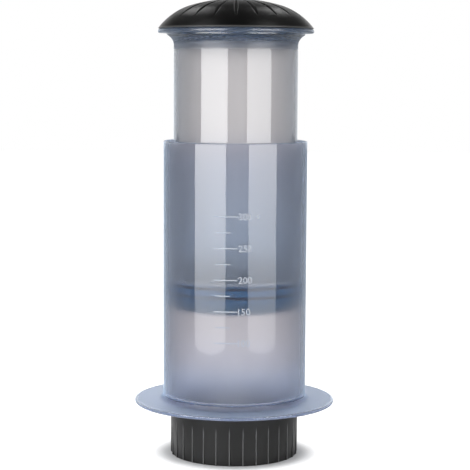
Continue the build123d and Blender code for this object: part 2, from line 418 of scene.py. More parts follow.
def rise_between(tree, value, first, last, low, high):
    """A value that goes smoothly from low to high as another goes from first to last."""
    node = tree.nodes.new("ShaderNodeMapRange")
    node.interpolation_type = "SMOOTHSTEP"
    for socket, number in zip(("From Min", "From Max", "To Min", "To Max"), (first, last, low, high)):
        node.inputs[socket].default_value = number
    tree.links.new(value, node.inputs["Value"])
    return node.outputs["Result"]


def colour_by(tree, value, low, high, stops):
    """A colour that changes with a value. Each stop is a share of the way from low to high, and a colour."""
    span = tree.nodes.new("ShaderNodeMapRange")
    span.inputs["From Min"].default_value = low
    span.inputs["From Max"].default_value = high
    tree.links.new(value, span.inputs["Value"])
    ramp = tree.nodes.new("ShaderNodeValToRGB")
    ramp.color_ramp.interpolation = "EASE"
    while len(ramp.color_ramp.elements) < len(stops):
        ramp.color_ramp.elements.new(0.5)
    for element, (share, colour) in zip(ramp.color_ramp.elements, stops):
        element.position = share
        element.color = (*colour, 1)
    tree.links.new(span.outputs["Result"], ramp.inputs["Fac"])
    return ramp.outputs["Color"]


# %% [markdown]
# The chamber and the plunger are smoke tinted plastic, which lets light through but blurs what lies behind
# it. A cloud of particles inside the wall could give the blur, but it is slow and noisy. So the wall is
# glass that is smooth outside, where it mirrors the lamps, and rough inside, where the blur comes from. A
# colour that the light loses on its way makes the rims and the long way along a wall darker. A sheen, the
# haze, pales a wall where it is seen edge on, and the tint drifts with the height. The piston's cup is
# milky, so it stays pale.


# %% Smoke tinted plastics
def smoke_plastic(name, tint, heights, polish, frost, bore_reach, polished, depth_colour, density, haze,
                  clearness=0.98):
    """A tinted clear plastic, polished on the outside of its wall and frosted elsewhere.

    The wall's outside is what lies further from the axis than bore_reach, between the two polished heights.
    The stops of the tint run from one of the two heights to the other. Light that crosses the plastic takes
    on depth_colour, the more of it the higher the density.
    """
    material, tree, shader = finish_start(
        name, tint[0][1], IOR=1.49, Transmission_Weight=clearness,
        Sheen_Weight=haze, Sheen_Roughness=0.4, Sheen_Tint=(0.60, 0.77, 0.98, 1))
    distance, height = from_axis(tree)
    outside = calculate(tree, "GREATER_THAN", distance, bore_reach)
    above = calculate(tree, "GREATER_THAN", height, polished[0])
    below = calculate(tree, "LESS_THAN", height, polished[1])
    wall = calculate(tree, "MULTIPLY", outside, calculate(tree, "MULTIPLY", above, below))
    handled = place_group(tree, marks, Base=frost, Spread=0.03)
    shine = calculate(tree, "MULTIPLY", wall, polish - frost)
    tree.links.new(calculate(tree, "ADD", handled.outputs["Roughness"], shine), shader.inputs["Roughness"])
    tree.links.new(colour_by(tree, height, *heights, tint), shader.inputs["Base Color"])
    loss = tree.nodes.new("ShaderNodeVolumeAbsorption")
    loss.inputs["Color"].default_value = (*depth_colour, 1)
    loss.inputs["Density"].default_value = density
    tree.links.new(loss.outputs["Volume"], tree.nodes["Material Output"].inputs["Volume"])
    return material


# %% Plastics of the chamber, the tube and the piston
chamber_tint = [
    (0.0, (0.88, 0.93, 1.0)), (0.10, (0.86, 0.90, 0.97)), (0.22, (0.85, 0.83, 0.84)),
    (0.37, (0.84, 0.815, 0.81)), (0.46, (0.84, 0.87, 0.93)), (0.495, (0.92, 0.955, 1.0)),
    (0.60, (0.91, 0.95, 1.0)), (0.75, (0.93, 0.96, 1.0)), (1.0, (0.96, 0.965, 1.0)),
]
chamber_smoke = smoke_plastic(
    "smoke_blue_plastic", chamber_tint, heights=(24 * mm, 155 * mm), polish=0.04, frost=0.58,
    bore_reach=34.0 * mm, polished=(29.5 * mm, 200 * mm), depth_colour=(0.44, 0.46, 0.74), density=49.0,
    haze=1.0)
tube_tint = [
    (0.0, (0.91, 0.96, 1.0)), (0.45, (0.96, 0.975, 1.0)), (0.57, (1.0, 0.963, 0.945)),
    (0.90, (1.0, 0.963, 0.945)), (1.0, (0.80, 0.89, 1.0)),
]
tube_smoke = smoke_plastic(
    "smoke_grey_plastic", tube_tint, heights=(88 * mm, 208 * mm), polish=0.04, frost=0.45,
    bore_reach=29.2 * mm, polished=(90 * mm, 198.5 * mm), depth_colour=(0.02, 0.22, 0.50), density=54.0,
    haze=0.5)
piston_tint = [(0.0, (0.95, 0.98, 1.0)), (1.0, (0.97, 0.99, 1.0))]
piston_smoke = smoke_plastic(
    "smoke_blue_piston", piston_tint, heights=(70 * mm, 100 * mm), polish=0.10, frost=0.45,
    bore_reach=29.2 * mm, polished=(86 * mm, 90 * mm), depth_colour=(0.50, 0.70, 0.95), density=8.0,
    haze=0.0, clearness=0.4)

# %% [markdown]
# The flange's edge and the tube's flared mouth are polished too, so lines of light run along them. They
# could have materials of their own, but a border between two materials shows as a line, so the one material
# is made smoother beyond a distance from the axis.

# %% Polished edges
flange_edge = flange_radius - 1.2 * mm
mouth_edge = tube_radius + 0.3 * mm


def smooth_beyond(material, distance, roughness):
    """Makes a plastic smoother beyond a distance from the axis."""
    tree = material.node_tree
    shader = tree.nodes["Principled BSDF"]
    under = shader.inputs["Roughness"].links[0].from_socket
    beyond = calculate(tree, "GREATER_THAN", from_axis(tree)[0], distance)
    change = calculate(tree, "MULTIPLY", beyond, calculate(tree, "SUBTRACT", roughness, under))
    tree.links.new(calculate(tree, "ADD", under, change), shader.inputs["Roughness"])
    print(material.name, "polished beyond", round(distance, 4))


smooth_beyond(chamber_smoke, flange_edge, roughness=0.12)
smooth_beyond(tube_smoke, mouth_edge, roughness=0.20)

# %% [markdown]
# Silicone is soft and satin. The piston's seal is deep blue. Its tip is thinner and paler, and the lips
# that press on the wall are painted darker, so that through the wall they show as two dark lines. The seal
# could be cut into pieces of different colours, but it is one moulding, so the other colours are laid over
# its own, by the height and the distance from the axis.


# %% Silicone
def silicone(name, low, high, roughness):
    """A satin rubber whose shade drifts a little."""
    material, tree, shader = finish_start(name, low, IOR=1.42)
    texture = place_group(tree, grain, Scale=1400.0, Depth=1.0)
    tree.links.new(blend_colours(tree, texture.outputs["Shade"], low, high), shader.inputs["Base Color"])
    handled = place_group(tree, marks, Base=roughness, Spread=0.1)
    tree.links.new(handled.outputs["Roughness"], shader.inputs["Roughness"])
    add_bump(tree, shader, texture.outputs["Height"], 0.03 * mm)
    return material


def lay_over(material, share, colour):
    """Blends one more colour over a finish's own, by a share that changes over the surface."""
    tree = material.node_tree
    shader = tree.nodes["Principled BSDF"]
    under = shader.inputs["Base Color"].links[0].from_socket
    mixed = blend_colours(tree, share, colour, colour)
    tree.links.new(under, mixed.node.inputs["A"])
    tree.links.new(mixed, shader.inputs["Base Color"])


piston_blue = silicone("blue_silicone", low=(0.012, 0.19, 0.39), high=(0.022, 0.21, 0.43), roughness=0.42)
gasket_grey = silicone("grey_silicone", low=(0.26, 0.28, 0.32), high=(0.32, 0.34, 0.38), roughness=0.5)
tip_top = seal_bottom + 9 * mm
lip_dark_from = lip_radius - 0.55 * mm
lip_dark_to = lip_radius - 0.2 * mm
blue_tree = piston_blue.node_tree
blue_distance, blue_height = from_axis(blue_tree)
lay_over(piston_blue, rise_between(blue_tree, blue_height, seal_bottom, tip_top, 1, 0), (0.10, 0.24, 0.40))
# The lips that press on the wall are painted a darker blue.
lay_over(piston_blue, rise_between(blue_tree, blue_distance, lip_dark_from, lip_dark_to, 0, 1), (0.004, 0.02, 0.07))

# %% [markdown]
# The screen is thin brushed steel, the paper has loose fibres, and the printed scale is a matt pale ink,
# worn in places. One plain colour would do at this size, but each is seen close up once the press is taken
# apart, so each takes the shared grain at a scale of its own.

# %% Steel, paper and ink
screen_steel, steel_tree, steel_shader = finish_start("screen_steel", (0.58, 0.58, 0.58), Metallic=1.0)
brushed = place_group(steel_tree, marks, Base=0.32, Spread=0.2)
steel_tree.links.new(brushed.outputs["Roughness"], steel_shader.inputs["Roughness"])
steel_grain = place_group(steel_tree, grain, Scale=3200.0, Depth=1.0)
add_bump(steel_tree, steel_shader, steel_grain.outputs["Height"], 0.01 * mm)

filter_paper, paper_tree, paper_shader = finish_start("filter_paper", (0.80, 0.77, 0.70), Roughness=0.95)
fibres = place_group(paper_tree, grain, Scale=1100.0, Depth=1.0)
paper_colour = blend_colours(paper_tree, fibres.outputs["Height"], (0.70, 0.66, 0.58), (0.86, 0.83, 0.77))
paper_tree.links.new(paper_colour, paper_shader.inputs["Base Color"])
add_bump(paper_tree, paper_shader, fibres.outputs["Height"], 0.12 * mm)

scale_ink, ink_tree, ink_shader = finish_start("scale_ink", (0.71, 0.76, 0.85), Roughness=0.6)
worn = place_group(ink_tree, grain, Scale=2600.0, Depth=1.0)
ink_colour = blend_colours(ink_tree, worn.outputs["Height"], (0.64, 0.69, 0.79), (0.78, 0.83, 0.91))
ink_tree.links.new(ink_colour, ink_shader.inputs["Base Color"])

# %% [markdown]
# The filter cap is the black cup that the press stands on. Its wall leans out a little towards the top, and
# thirty upright bars stand on it. The bars keep one radius while the wall leans out to meet them, so each
# one is proud at the foot and sinks into the wall near the top. Bars made apart and pushed into a plain
# wall would meet it in a hard line. So wall and bars are one surface: at each angle the radius is the
# larger of the wall's and the bar's, with the corner between them rounded. The angles are set close
# together at the bars.

# %% The cap's bars and thread
cap_bore = 29.3 * mm
cap_draft = 0.8 * mm
cap_skirt_wall = 2.0 * mm
deck_bottom = 13.0 * mm
rib_count = 30
rib_radius = 0.6 * mm
rib_setback = 0.15 * mm
rib_height = 19.0 * mm
rib_foot = 0.4 * mm
rib_first_angle = math.radians(-94)
rib_centre = cap_radius - rib_setback - rib_radius
rib_blend = 0.12 * mm
cap_foot_radius = cap_radius - cap_draft
cap_skirt_bore = cap_foot_radius - cap_skirt_wall
cap_wall_middle = cap_bore + 1.2 * mm
cap_thread_low = deck_bottom + 5.3 * mm
cap_thread_high = cap_top - 0.6 * mm


def soft_larger(a, b, blend):
    """The larger of two values, its corner rounded: half of a + b + sqrt((a - b)^2 + blend^2) - blend."""
    return (a + b + np.sqrt((a - b) ** 2 + blend**2) - blend) / 2


def grip_ribs(a, r, z):
    """Adds to the wall's radius what the nearest bar stands proud of it, and the thread inside.

    A bar's round face is rib_centre + sqrt(rib_radius^2 - s^2) from the axis, s being the way along the wall
    from the bar's middle.
    """
    pitch = full_turn / rib_count
    turn = (a - rib_first_angle + pitch / 2) % pitch - pitch / 2
    aside = rib_centre * turn
    bar = rib_centre + np.sqrt(np.maximum(rib_radius**2 - aside**2, 0))
    bar = np.where(np.abs(aside) < rib_radius, bar, 0)
    ends = np.clip((z - cap_foot) / rib_foot, 0, 1) * smooth_step((rib_height + 2 * rib_foot - z) / rib_foot)
    proud = np.maximum(soft_larger(r, bar, rib_blend) - r, 0) * ends
    inside = (np.abs(r - cap_bore) < wall_tolerance) & (z > cap_thread_low) & (z < cap_thread_high)
    ridge = thread(a, z, cap_thread_low, cap_thread_high, 0.5)
    return np.where(r > cap_wall_middle, proud, 0) - np.where(inside, ridge, 0), np.zeros_like(z)


# %% Filter cap
# A spare corner only gives the rounding beside it a direction, and is cut off again.
spare = 3.0 * mm
outer_round = 0.4 * mm
inner_round = 0.3 * mm
deck_shelf = cap_skirt_bore - 1.6 * mm
wall_low = cap_foot + 1.2 * mm
wall_high = cap_top - 0.9 * mm
cap_shape = np.vstack([
    rounded([(cap_skirt_bore, cap_foot, inner_round), (cap_foot_radius, cap_foot, outer_round),
             (cap_foot_radius, cap_foot + spare, 0), (cap_skirt_bore, cap_foot + spare, 0)])[:-2],
    run((cap_foot_radius + 0.05 * cap_draft, wall_low), (cap_radius, wall_high), 24),
    rounded([(cap_bore, cap_top - spare, 0), (cap_radius - 0.001 * mm, cap_top - spare, 0),
             (cap_radius, cap_top, outer_round), (cap_bore, cap_top, inner_round)])[2:],
    run((cap_bore, cap_thread_high), (cap_bore, screen_bottom), 34),
    run((deck_shelf, screen_bottom), (deck_shelf, deck_bottom), 2),
    rounded([(deck_shelf, deck_bottom, 0), (cap_skirt_bore, deck_bottom, outer_round),
             (cap_skirt_bore, deck_bottom - spare, 0)])[1:-1],
])
rib_offsets = rib_radius * np.array([
    -1, -0.85, -0.6, -0.3, 0, 0.3, 0.6, 0.85, 1, 1.25, 1.9, 2.9, 4.2, 6.4, 7.7, 8.9])
rib_middles = rib_first_angle + np.arange(rib_count) * full_turn / rib_count
rib_angles = rib_middles[:, None] + rib_offsets / rib_centre
ribbed_cap = turned("ribbed_cap", cap_shape, cap_black, angles=rib_angles.ravel(), relief=grip_ribs)
settle(ribbed_cap, "filter_cap", "cap_plastic", "filter_cap")

# %% [markdown]
# The bars' crests carry a painted highlight: thin lines of paler grey that end where the bars sink into the
# wall. They stand in for the light that the rounded crests catch. A mask for such lines is often read from a
# mesh's curvature, but here the place is known. How far a point stands proud of the wall is its distance
# from the axis less the wall's own radius at that height. A grey is laid over the black where that is more
# than nothing and the distance is nearly a crest's.

# %% Painted crest highlights
proud_from = 0.02 * mm
proud_to = 0.10 * mm
crest_from = rib_centre + rib_radius - 0.15 * mm
crest_to = rib_centre + rib_radius - 0.05 * mm
wall_slope = cap_draft / (cap_top - cap_foot)
cap_tree = cap_black.node_tree
cap_distance, cap_height = from_axis(cap_tree)
wall_there = calculate(cap_tree, "ADD", calculate(cap_tree, "MULTIPLY", cap_height, wall_slope),
                       cap_foot_radius - cap_foot * wall_slope)
proud_there = calculate(cap_tree, "SUBTRACT", cap_distance, wall_there)
on_bar = rise_between(cap_tree, proud_there, proud_from, proud_to, 0, 1)
on_crest = rise_between(cap_tree, cap_distance, crest_from, crest_to, 0, 1)
# Painted highlight: a pale grey along the bars' crests, in place of the light that they catch.
lay_over(cap_black, calculate(cap_tree, "MULTIPLY", on_bar, on_crest), (0.26, 0.26, 0.26))
print("crests at", round(rib_centre + rib_radius, 5), "wall leans", round(wall_slope, 4))

# %% [markdown]
# The cap's deck is a plate full of round holes, and the screen over it is a thin disc with far finer ones.
# Booleans would cut them one by one, but a flat outline with holes is easier as a filled curve: one circle
# outside and one circle for each hole. The curve is given its thickness, made a mesh, and then raised.


# %% Plates with holes
def circle_points(centres, radius, count):
    """Points round circles of one radius: each centre plus (radius cos a, radius sin a)."""
    a = np.arange(count) * full_turn / count
    ring = np.stack([np.cos(a), np.sin(a)], axis=-1) * radius
    return np.asarray(centres, float).reshape(-1, 1, 2) + ring


def made_mesh(curve):
    """The faces of a curve or a text as a mesh. The curve itself is deleted."""
    holder = bpy.data.objects.new(curve.name, curve)
    mesh = bpy.data.meshes.new_from_object(holder)
    bpy.data.objects.remove(holder)
    bpy.data.curves.remove(curve)
    return mesh


def holed_plate(name, radius, low, high, centres, hole_radius, sides, finish):
    """A round plate between two heights, with a round hole at each centre."""
    curve = bpy.data.curves.new(name + "_outline", "CURVE")
    curve.dimensions = "2D"
    curve.fill_mode = "BOTH"
    curve.extrude = (high - low) / 2
    edge = circle_points([(0, 0)], radius, 180)
    for ring in [*edge, *circle_points(centres, hole_radius, sides)]:
        spline = curve.splines.new("POLY")
        spline.points.add(len(ring) - 1)
        flat = np.column_stack([ring, np.zeros(len(ring)), np.ones(len(ring))])
        spline.points.foreach_set("co", flat.ravel())
        spline.use_cyclic_u = True
    mesh = made_mesh(curve)
    mesh.transform(Matrix.Translation((0, 0, (low + high) / 2)))
    mesh.shade_smooth()
    mesh.set_sharp_from_angle(angle=math.radians(40))
    print(name, "holes", len(centres), "faces", len(mesh.polygons))
    return add_piece(name, mesh, finish)


# %% The outlet deck
deck_hole_radius = 1.4 * mm
deck_rings = 4
deck_ring_step = 6
deck_radius = cap_skirt_bore - 1.2 * mm
deck_inset = 0.02 * mm
neck_bore = 25.9 * mm
deck_margin = 2.4 * mm
deck_pitch = (neck_bore - deck_margin) / deck_rings
deck_centres = [(0.0, 0.0)]
for ring in range(1, deck_rings + 1):
    ring_angles = np.arange(ring * deck_ring_step) * full_turn / (ring * deck_ring_step) - math.pi / 2
    deck_centres += list(np.stack([np.cos(ring_angles), np.sin(ring_angles)], axis=-1) * ring * deck_pitch)
outlet_deck = holed_plate(
    "outlet_deck", deck_radius, deck_bottom + deck_inset, screen_bottom - deck_inset, deck_centres,
    deck_hole_radius, sides=24, finish=cap_black)
settle(outlet_deck, "filter_cap", "cap_plastic")

# %% The steel screen
screen_rows = 15
screen_pitch = 2.0 * mm
screen_hole = 0.5 * mm
screen_reach = 25.5 * mm
row_numbers = np.arange(-screen_rows, screen_rows + 1)
column, row = np.meshgrid(row_numbers, row_numbers)
mesh_x = (column + 0.5 * (row % 2)) * screen_pitch
mesh_y = row * screen_pitch * math.sqrt(3) / 2
inside_screen = np.hypot(mesh_x, mesh_y) < screen_reach
screen_centres = np.stack([mesh_x[inside_screen], mesh_y[inside_screen]], axis=-1)
steel_screen = holed_plate(
    "steel_screen", disc_radius, screen_bottom, screen_top, screen_centres, screen_hole, sides=8,
    finish=screen_steel)
settle(steel_screen, "filter_cap", "screen_steel", "filter_screen")

# %% [markdown]
# The paper is a thin disc cut a hair smaller than the cap's bore, and the gasket above it is a plain ring.
# A flattened cylinder would show a razor edge, so both are turned profiles with the small rounding that a
# cut or moulded edge has.

# %% Paper and neck gasket
paper_edge = 0.1 * mm
paper_disc = turned("paper_disc", rounded([
    (0, paper_bottom, 0), (disc_radius, paper_bottom, paper_edge), (disc_radius, paper_top, paper_edge),
    (0, paper_top, 0),
]), filter_paper, angles=180)
settle(paper_disc, "filter_cap", "filter_paper", "paper_filter")

gasket_edge = 0.25 * mm
neck_gasket = turned("neck_gasket", rounded([
    (neck_bore, paper_top, gasket_edge), (gasket_radius, paper_top, gasket_edge),
    (gasket_radius, neck_end, gasket_edge), (neck_bore, neck_end, gasket_edge),
]), gasket_grey, angles=180)
settle(neck_gasket, "neck_seal", "grey_silicone", "neck_seal")

# %% [markdown]
# The chamber is one moulding: a threaded neck, a broad flange that rests on a mug, and a straight barrel.
# The flange runs into the barrel with a generous curve. Inside, the floor slopes to the neck. A single skin
# with a Solidify modifier would do for a plain tube, but here the outside and the inside differ. So one
# closed profile gives the wall both, and a clear plastic looks right only when light crosses both.

# %% The chamber's sizes
barrel_radius = 35.0 * mm
barrel_bore = 32.55 * mm
barrel_height = 128.4 * mm
neck_radius = 28.1 * mm
neck_root = 1.0 * mm
flange_thickness = 1.7 * mm
relief_depth = 0.5 * mm
relief_radius = cap_radius + 1.0 * mm
floor_rise = 4.3 * mm
floor_fall = 2.0 * mm
thread_margin = 0.4 * mm
flange_bottom = rim - barrel_height
flange_top = flange_bottom + flange_thickness
relief_top = flange_bottom + relief_depth
brew_floor = flange_bottom + floor_rise
neck_thread_low = neck_end + thread_margin
neck_thread_high = flange_bottom - thread_margin
print("flange from", round(flange_bottom, 4), "to", round(flange_top, 4), "floor", round(brew_floor, 4))

# %% Chamber
chamber_shape = np.vstack([
    rounded([(neck_bore, brew_floor, 0), (neck_bore, neck_end, 0.3 * mm), (neck_radius, neck_end, 0.3 * mm),
             (neck_radius, neck_end + spare, 0)])[1:-1],
    run((neck_radius, neck_end + 0.5 * mm), (neck_radius, flange_bottom), 36),
    rounded([
        (neck_radius, flange_bottom - neck_root, 0),
        (neck_radius, relief_top, 0.2 * mm),
        (relief_radius, relief_top, 0.15 * mm),
        (relief_radius, flange_bottom, 0.2 * mm),
        (flange_radius, flange_bottom, 0.7 * mm),
        (flange_radius, flange_top, 0.7 * mm),
        (barrel_radius, flange_top, 2.2 * mm),
        (barrel_radius, rim, 0.5 * mm),
        (barrel_bore, rim, 0.5 * mm),
        (barrel_bore, brew_floor, 1.4 * mm),
        (neck_bore, brew_floor - floor_fall, 0.6 * mm),
    ], steps=7)[1:],
])
neck_thread = thread_relief(neck_radius, neck_thread_low, neck_thread_high, outward=1, offset=0)
brewing_chamber = turned("brewing_chamber", chamber_shape, chamber_smoke, angles=288, relief=neck_thread)
settle(brewing_chamber, "chamber", "smoke_plastic", "chamber")

# %% [markdown]
# The scale is printed on the front of the chamber: a long line for every 50 ml, a short one between, and
# the numbers beside the long ones. An image on the surface would need a texture file and a high resolution,
# so each mark is a thin solid of ink. It starts as a flat shape whose width is an arc length. Wrapping it
# round the barrel turns that length into an angle, x / radius, and its thickness into a radius.

# %% Wrapping ink on the barrel
ink_radius = barrel_radius - 0.01 * mm
ink_height = 0.05 * mm
front = -math.pi / 2


def wrap(flat):
    """Flat points (x, y, depth) wrapped on the barrel: angle x / radius from the front, depth outwards."""
    angle = front + flat[:, 0] / barrel_radius
    radius = ink_radius + flat[:, 2]
    return np.stack([radius * np.cos(angle), radius * np.sin(angle), flat[:, 1]], axis=-1)


def ink_bar(name, left, right, low_left, high_left, low_right, high_right, steps=10):
    """A closed thin bar between two arc lengths, whose height may change from its left end to its right."""
    share = np.linspace(0, 1, steps)
    x = left + (right - left) * share
    low = low_left + (low_right - low_left) * share
    high = high_left + (high_right - high_left) * share
    inner, outer = np.zeros(steps), np.full(steps, ink_height)
    corners = ((x, low, outer), (x, high, outer), (x, high, inner), (x, low, inner))
    ring = [np.stack(corner, axis=-1) for corner in corners]
    points = wrap(np.stack(ring, axis=1).reshape(-1, 3))
    i = np.arange(steps - 1)[:, None] * 4
    j = np.arange(4)[None, :]
    k = (j + 1) % 4
    faces = np.stack([i + j, i + 4 + j, i + 4 + k, i + k], axis=-1).reshape(-1, 4).tolist()
    end = (steps - 1) * 4
    faces += [[0, 1, 2, 3], [end + 3, end + 2, end + 1, end]]
    return new_piece(name, points, faces, scale_ink, crease=30)


# %% Numbers
number_size = 4.5 * mm
number_weight = 0.07 * mm


def number_mark(name, words, left, middle):
    """A number from the built-in font, made a thin mesh, centred on a height and wrapped."""
    curve = bpy.data.curves.new(name + "_text", "FONT")
    curve.body = words
    curve.size = number_size
    curve.extrude = ink_height / 2
    curve.resolution_u = 4
    curve.offset = number_weight
    mesh = made_mesh(curve)
    flat = np.empty(len(mesh.vertices) * 3)
    mesh.vertices.foreach_get("co", flat)
    flat = flat.reshape(-1, 3)
    flat[:, 0] += left - flat[:, 0].min()
    flat[:, 1] += middle - (flat[:, 1].min() + flat[:, 1].max()) / 2
    flat[:, 2] += ink_height / 2
    mesh.vertices.foreach_set("co", wrap(flat).ravel())
    mesh.update()
    return add_piece(name, mesh, scale_ink)


def print_mark(piece):
    """Fastens a printed mark to the chamber."""
    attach(piece, "chamber")


# %% Printed scale
line_height = 0.5 * mm
scale_step = 15.0 * mm
scale_first = 60.2 * mm
scale_first_ml = 100
scale_step_ml = 50
scale_lines = 5
long_line = (-9.9 * mm, 1.3 * mm)
short_line = (-9.2 * mm, -2.2 * mm)
number_left = 1.6 * mm
marker_line = (9.9 * mm, 12.0 * mm)
marker_tip = 0.02 * mm
marker_half = 1.2 * mm
for step in range(scale_lines):
    level = scale_first + step * scale_step
    volume = scale_first_ml + step * scale_step_ml
    low, high = level - line_height / 2, level + line_height / 2
    print_mark(ink_bar(f"line_{volume}_ml", *long_line, low, high, low, high))
    print_mark(number_mark(f"number_{volume}_ml", str(volume), number_left, level))
    if step + 1 < scale_lines:
        between = level + scale_step / 2
        low, high = between - line_height / 2, between + line_height / 2
        print_mark(ink_bar(f"line_{volume + scale_step_ml // 2}_ml", *short_line, low, high, low, high))
top_level = scale_first + (scale_lines - 1) * scale_step
print_mark(ink_bar("full_marker", *marker_line, top_level - marker_tip, top_level + marker_tip,
                   top_level - marker_half, top_level + marker_half))
print("scale from", scale_first, "to", round(top_level, 4))

# %% [markdown]
# The plunger tube has a plain bore. Its mouth widens in a hollow curve under a round plate, and a seat for
# the lid's ring is let into the plate. The curve could be another rounding, but it is far longer than it is
# wide. So it is an arc that leaves the wall upright, and its centre lies level with the arc's foot.

# %% The tube's mouth
tube_bore = 28.3 * mm
plate_thickness = 1.7 * mm
flare_width = 3.3 * mm
flare_height = 5.1 * mm
flare_step = 1.0 * mm
flare_lead = 0.5 * mm
seat_radius = 31.5 * mm
plate_bottom = plate_top - plate_thickness
flare_top = plate_bottom - flare_step
flare_bottom = flare_top - flare_height
flare_radius = tube_radius + flare_width
mouth_thread_low = flare_bottom - 1.2 * mm
mouth_thread_high = seal_seat - thread_margin


def hollow_curve(radius, low, width, height, count=14):
    """An arc that leaves a wall upright and bends outwards by a width over a height.

    Its radius is (height^2 + width^2) / (2 width), and its centre is that far out, level with its foot.
    """
    bend = (height**2 + width**2) / (2 * width)
    last = math.asin(height / bend)
    a = np.linspace(0, last, count)
    return np.stack([radius + bend - bend * np.cos(a), low + bend * np.sin(a)], axis=-1)


print("flare from", round(flare_bottom, 4), "to", round(flare_top, 4), "bore", tube_bore)

# %% Plunger tube
tube_shape = np.vstack([
    rounded([(tube_bore, flare_bottom, 0), (tube_bore, tube_end, 0.2 * mm),
             (tube_radius, tube_end, 0.25 * mm), (tube_radius, flare_bottom, 0)])[1:-1],
    [(tube_radius, flare_bottom - flare_lead)],
    hollow_curve(tube_radius, flare_bottom, flare_width, flare_height),
    rounded([
        (flare_radius, flare_top, 0),
        (flare_radius, plate_bottom, 0.25 * mm),
        (plate_radius, plate_bottom, 0.6 * mm),
        (plate_radius, plate_top, 0.6 * mm),
        (seat_radius, plate_top, 0.2 * mm),
        (seat_radius, seal_seat, 0.15 * mm),
        (tube_bore, seal_seat, 0.2 * mm),
        (tube_bore, flare_bottom, 0),
    ], steps=6)[1:-1],
    run((tube_bore, mouth_thread_high), (tube_bore, mouth_thread_low - 0.3 * mm), 36),
])
mouth_thread = thread_relief(tube_bore, mouth_thread_low, mouth_thread_high, outward=-1, offset=0.5)
sliding_tube = turned("sliding_tube", tube_shape, tube_smoke, angles=288, relief=mouth_thread)
settle(sliding_tube, "plunger", "tube_plastic", "plunger_tube")

# %% [markdown]
# The piston has two pieces. The first is a stiff cup that is pressed into the tube and closes it. It could
# be hidden, being inside, but it shows through the clear walls, and once the plunger is drawn out it shows
# from below. So it has its real section, with the neck and the bead that the seal is stretched over.

# %% Piston head
plug_radius = 28.25 * mm
plug_wall = 2.2 * mm
bead_radius = 26.6 * mm
bead_top = head_bottom + 5.0 * mm
head_neck = 25.0 * mm
cup_radius = 22.6 * mm
cup_floor = head_bottom + 2.5 * mm
piston_cup = turned("piston_cup", rounded([
    (0, head_bottom, 0),
    (bead_radius, head_bottom, 0.3 * mm),
    (bead_radius, bead_top, 0.3 * mm),
    (head_neck, bead_top, 0.2 * mm),
    (head_neck, shoulder_bottom, 0.2 * mm),
    (tube_radius, shoulder_bottom, 0.3 * mm),
    (tube_radius, tube_end, 0.15 * mm),
    (plug_radius, tube_end, 0),
    (plug_radius, plug_top, 0.5 * mm),
    (plug_radius - plug_wall, plug_top, 0.5 * mm),
    (plug_radius - plug_wall, tube_end, 0.3 * mm),
    (cup_radius, tube_end, 0.3 * mm),
    (cup_radius, cup_floor, 1.2 * mm),
    (0, cup_floor, 0),
]), piston_smoke, angles=240)
settle(piston_cup, "plunger", "tube_plastic", "piston_head")

# %% [markdown]
# The second piece is the soft blue seal stretched over the cup. Only the seal touches the chamber, and only
# with its two thin lips. Through the wall they show as two dark lines, while the seal's tapered nose,
# further from the wall, stays a blur. The lips could be two rings of their own, but they are moulded with
# the rest.

# %% Piston seal
seal_body = 31.75 * mm
nose_radius = 28.0 * mm
nose_height = 6.6 * mm
lip_half = 0.85 * mm
lip_flat = 0.3 * mm
lip_round = 0.06 * mm
lip_drop = 1.0 * mm
lip_spacing = 4.3 * mm
soft_round = 0.2 * mm
upper_lip = shoulder_bottom - lip_drop
lower_lip = upper_lip - lip_spacing
seal_neck = head_neck + 0.1 * mm
seal_groove = bead_radius + 0.1 * mm
groove_top = bead_top + 0.1 * mm
blue_seal = turned("blue_seal", rounded([
    (0, seal_bottom, 0),
    (nose_radius, seal_bottom, 2.5 * mm),
    (seal_body, seal_bottom + nose_height, 1.5 * mm),
    (seal_body, lower_lip - lip_half, soft_round),
    (lip_radius, lower_lip - lip_flat, lip_round),
    (lip_radius, lower_lip + lip_flat, lip_round),
    (seal_body, lower_lip + lip_half, soft_round),
    (seal_body, upper_lip - lip_half, soft_round),
    (lip_radius, upper_lip - lip_flat, lip_round),
    (lip_radius, upper_lip + lip_flat, lip_round),
    (seal_body, upper_lip + lip_half, 0),
    (seal_body, shoulder_bottom, 0),
    (seal_neck, shoulder_bottom, soft_round),
    (seal_neck, groove_top, soft_round),
    (seal_groove, groove_top, soft_round),
    (seal_groove, head_bottom, 0),
    (0, head_bottom, 0),
]), piston_blue, angles=240)
settle(blue_seal, "plunger", "blue_silicone", "piston_seal")

# %% [markdown]
# The lid is a black dome on a flat liner. The liner's skirt carries the thread that goes into the tube's
# mouth, and a silicone ring under its plate makes the joint tight. The ring could be a torus, but a cut
# through a real one is a rounded square, so it is turned as the rest is.

# %% Lid ring and liner
lid_ring_bore = 28.6 * mm
ring_round = 0.3 * mm
lid_ring = turned("lid_ring", rounded([
    (lid_ring_bore, seal_seat, ring_round), (lid_ring_radius, seal_seat, ring_round),
    (lid_ring_radius, liner_bottom, ring_round), (lid_ring_bore, liner_bottom, ring_round),
]), gasket_grey, angles=180)
settle(lid_ring, "lid_seal", "grey_silicone", "lid_seal")

skirt_radius = 27.2 * mm
skirt_bore = 25.4 * mm
skirt_thread_low = skirt_end + thread_margin
skirt_thread_high = seal_seat - 0.8 * mm
liner_shape = np.vstack([
    [(0, liner_bottom)],
    rounded([(0, liner_bottom, 0), (skirt_bore, liner_bottom, 0.6 * mm), (skirt_bore, skirt_end, 0.3 * mm),
             (skirt_radius, skirt_end, 0.3 * mm), (skirt_radius, skirt_end + spare, 0)])[1:-1],
    run((skirt_radius, skirt_end + 0.5 * mm), (skirt_radius, skirt_thread_high + 0.3 * mm), 34),
    rounded([(skirt_radius, skirt_thread_high, 0), (skirt_radius, liner_bottom, 0.4 * mm),
             (liner_radius, liner_bottom, 0.3 * mm), (liner_radius, liner_top, 0.3 * mm),
             (0, liner_top, 0)])[1:],
])
skirt_thread = thread_relief(skirt_radius, skirt_thread_low, skirt_thread_high, outward=1, offset=0)
lid_plate = turned("lid_plate", liner_shape, liner_slate, angles=240, relief=skirt_thread)
